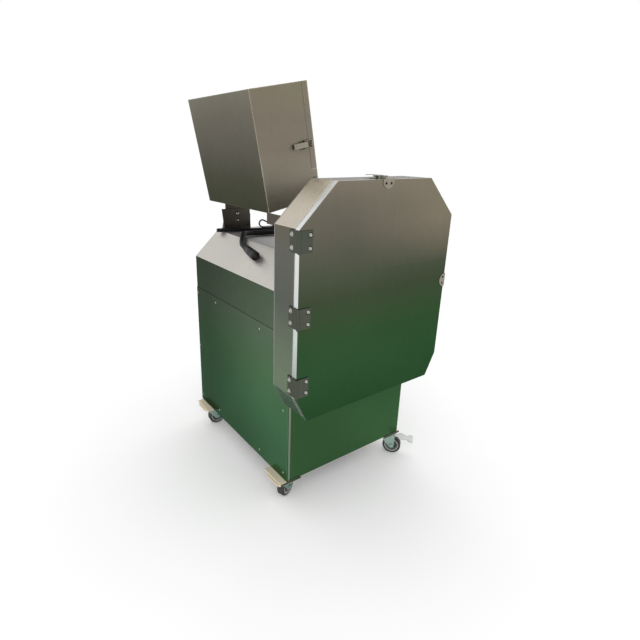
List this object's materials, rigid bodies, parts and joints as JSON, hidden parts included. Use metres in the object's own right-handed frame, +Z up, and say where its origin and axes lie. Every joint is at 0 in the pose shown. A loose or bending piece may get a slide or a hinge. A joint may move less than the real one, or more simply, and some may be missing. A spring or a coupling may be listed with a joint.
{
  "type": "vegetable cutting machine",
  "caption": "Wheeled stainless steel vegetable slicer: leaning side hopper, chute and belt-driven knife disc behind a hinged eight-sided door.",
  "frame": {"origin": "centre of the overall plan, on the floor", "axes": "+Z up, +X to the machine's right seen from the door, +Y from the door towards the back"},
  "size_m": [0.7458, 0.9, 1.5428],
  "materials": {
    "sheet": "brushed stainless sheet",
    "fittings": "satin stainless castings and stampings",
    "frame": "welded square tube, ground",
    "zinc": "zinc plated pressings",
    "pads": "plate with passivated beige finish",
    "blade": "ground tool steel",
    "cast": "painted cast iron",
    "motor": "painted cast aluminium",
    "rubber": "black rubber",
    "seal": "grey food grade silicone",
    "black": "matt black plastic",
    "green": "green button cap",
    "red": "red mushroom cap",
    "pedal": "plated pressing"
  },
  "bodies": {
    "base": {"welded_frame": "frame", "caster_mounts": "pads", "front_panel": "sheet", "back_panel": "sheet", "roof": "sheet", "side_covers": "sheet", "drive_plates": "frame", "bearing_blocks": "cast", "motor": "motor", "cutting_housing": "sheet", "housing_back_plate": "sheet", "shaft_seal": "seal", "hinge_fixed_leaves": "fittings", "latch_bases": "fittings", "hopper_body": "sheet", "hopper_slide": "sheet", "feed_chute": "sheet", "rear_bracket": "sheet", "front_arms": "sheet", "button_collars": "fittings", "drive_belts": "rubber", "power_lead": "black", "power_connector": "black", "signal_hank": "black", "signal_lead": "black", "cable_glands": "black"},
    "door": {"door_panel": "sheet", "door_seal": "seal", "door_hinge_leaves": "fittings", "door_keepers": "fittings"},
    "hopper_side": {"hopper_door": "sheet", "hopper_door_fittings": "fittings"},
    "cutter": {"cutter_shaft": "blade", "bearing_rings": "blade", "shaft_pulley": "cast", "cutter_disc": "blade", "disc_hub": "fittings", "knives": "blade", "knife_fixings": "fittings", "clamping_knob": "black"},
    "motor_rotor": {"motor_shaft": "blade", "motor_pulley": "cast"},
    "start_cap": {"start_button": "green"},
    "stop_cap": {"stop_button": "red"},
    "top_lever": {"top_latch_lever": "fittings"},
    "top_bail": {"top_latch_bail": "fittings"},
    "side_lever": {"side_latch_lever": "fittings"},
    "side_bail": {"side_latch_bail": "fittings"},
    "hopper_lever": {"hopper_latch_lever": "fittings"},
    "hopper_bail": {"hopper_latch_bail": "fittings"},
    "fork_front_left": {"caster_fork_front_left": "zinc"},
    "wheel_front_left": {"caster_wheel_front_left": "rubber"},
    "fork_front_right": {"caster_fork_front_right": "zinc"},
    "wheel_front_right": {"caster_wheel_front_right": "rubber"},
    "pedal_front_right": {"brake_pedal_front_right": "pedal"},
    "fork_rear_left": {"caster_fork_rear_left": "zinc"},
    "wheel_rear_left": {"caster_wheel_rear_left": "rubber"},
    "fork_rear_right": {"caster_fork_rear_right": "zinc"},
    "wheel_rear_right": {"caster_wheel_rear_right": "rubber"},
    "pedal_rear_right": {"brake_pedal_rear_right": "pedal"}
  },
  "joints": [
    {"name": "door_hinge", "type": "hinge", "parent": "base", "child": "door", "pos_m": [-0.36791, -0.445, 0.824], "axis": [0, 0, -1], "range_deg": [0, 110]},
    {"name": "hopper_side_hinge", "type": "hinge", "parent": "base", "child": "hopper_side", "pos_m": [-0.04574, 0.4163, 1.39425], "axis": [-0.1942, 0, 0.981], "range_deg": [0, 100]},
    {"name": "top_lever_pivot", "type": "hinge", "parent": "base", "child": "top_lever", "pos_m": [-0.02261, -0.4, 1.236], "axis": [1, 0, 0], "range_deg": [0, 120]},
    {"name": "top_bail_pivot", "type": "hinge", "parent": "top_lever", "child": "top_bail", "pos_m": [-0.02261, -0.392, 1.237], "axis": [1, 0, 0], "range_deg": [-150, 0]},
    {"name": "side_lever_pivot", "type": "hinge", "parent": "base", "child": "side_lever", "pos_m": [0.32939, -0.4, 0.852], "axis": [0, 0, -1], "range_deg": [0, 120]},
    {"name": "side_bail_pivot", "type": "hinge", "parent": "side_lever", "child": "side_bail", "pos_m": [0.33039, -0.392, 0.852], "axis": [0, 0, -1], "range_deg": [-150, 0]},
    {"name": "hopper_lever_pivot", "type": "hinge", "parent": "base", "child": "hopper_lever", "pos_m": [-0.07587, -0.08, 1.33018], "axis": [-0.1942, 0, 0.981], "range_deg": [0, 120]},
    {"name": "hopper_bail_pivot", "type": "hinge", "parent": "hopper_lever", "child": "hopper_bail", "pos_m": [-0.08372, -0.081, 1.32862], "axis": [-0.1942, 0, 0.981], "range_deg": [-150, 0]},
    {"name": "cutter_spin", "type": "hinge", "parent": "base", "child": "cutter", "pos_m": [-0.02161, -0.308, 0.843], "axis": [0, 1, 0], "continuous": true},
    {"name": "motor_spin", "type": "hinge", "parent": "base", "child": "motor_rotor", "pos_m": [0.00039, 0.01, 0.25], "axis": [0, 1, 0], "continuous": true},
    {"name": "start_press", "type": "slide", "parent": "base", "child": "start_cap", "axis": [-0.6909, 0, -0.7229], "range_m": [0, 0.004], "stiffness_N_per_m": 600, "springref_m": -0.002},
    {"name": "stop_press", "type": "slide", "parent": "base", "child": "stop_cap", "axis": [-0.6909, 0, -0.7229], "range_m": [0, 0.006], "stiffness_N_per_m": 1500, "springref_m": -0.002},
    {"name": "swivel_front_left", "type": "hinge", "parent": "base", "child": "fork_front_left", "pos_m": [-0.29961, -0.262, 0.09], "axis": [0, 0, 1], "continuous": true},
    {"name": "roll_front_left", "type": "hinge", "parent": "fork_front_left", "child": "wheel_front_left", "pos_m": [-0.26517, -0.24594, 0.04], "axis": [-0.4226, 0.9063, 0], "continuous": true},
    {"name": "swivel_front_right", "type": "hinge", "parent": "base", "child": "fork_front_right", "pos_m": [0.27239, -0.262, 0.09], "axis": [0, 0, 1], "continuous": true},
    {"name": "roll_front_right", "type": "hinge", "parent": "fork_front_right", "child": "wheel_front_right", "pos_m": [0.29578, -0.29194, 0.04], "axis": [0.788, 0.6157, 0], "continuous": true},
    {"name": "brake_front_right", "type": "hinge", "parent": "fork_front_right", "child": "pedal_front_right", "pos_m": [0.29763, -0.29431, 0.088], "axis": [0.788, 0.6157, 0], "range_deg": [0, 10]},
    {"name": "swivel_rear_left", "type": "hinge", "parent": "base", "child": "fork_rear_left", "pos_m": [-0.29961, 0.374, 0.09], "axis": [0, 0, 1], "continuous": true},
    {"name": "roll_rear_left", "type": "hinge", "parent": "fork_rear_left", "child": "wheel_rear_left", "pos_m": [-0.26176, 0.37069, 0.04], "axis": [0.0872, 0.9962, 0], "continuous": true},
    {"name": "swivel_rear_right", "type": "hinge", "parent": "base", "child": "fork_rear_right", "pos_m": [0.27239, 0.374, 0.09], "axis": [0, 0, 1], "continuous": true},
    {"name": "roll_rear_right", "type": "hinge", "parent": "fork_rear_right", "child": "wheel_rear_right", "pos_m": [0.29023, 0.34045, 0.04], "axis": [0.8829, 0.4695, 0], "continuous": true},
    {"name": "brake_rear_right", "type": "hinge", "parent": "fork_rear_right", "child": "pedal_rear_right", "pos_m": [0.29163, 0.3378, 0.088], "axis": [0.8829, 0.4695, 0], "range_deg": [0, 10]}
  ],
  "couplings": [
    {"joint": "top_bail_pivot", "follows": "top_lever_pivot", "ratio": -1.25},
    {"joint": "side_bail_pivot", "follows": "side_lever_pivot", "ratio": -1.25},
    {"joint": "hopper_bail_pivot", "follows": "hopper_lever_pivot", "ratio": -1.25},
    {"joint": "motor_spin", "follows": "cutter_spin", "ratio": 2.3551}
  ]
}
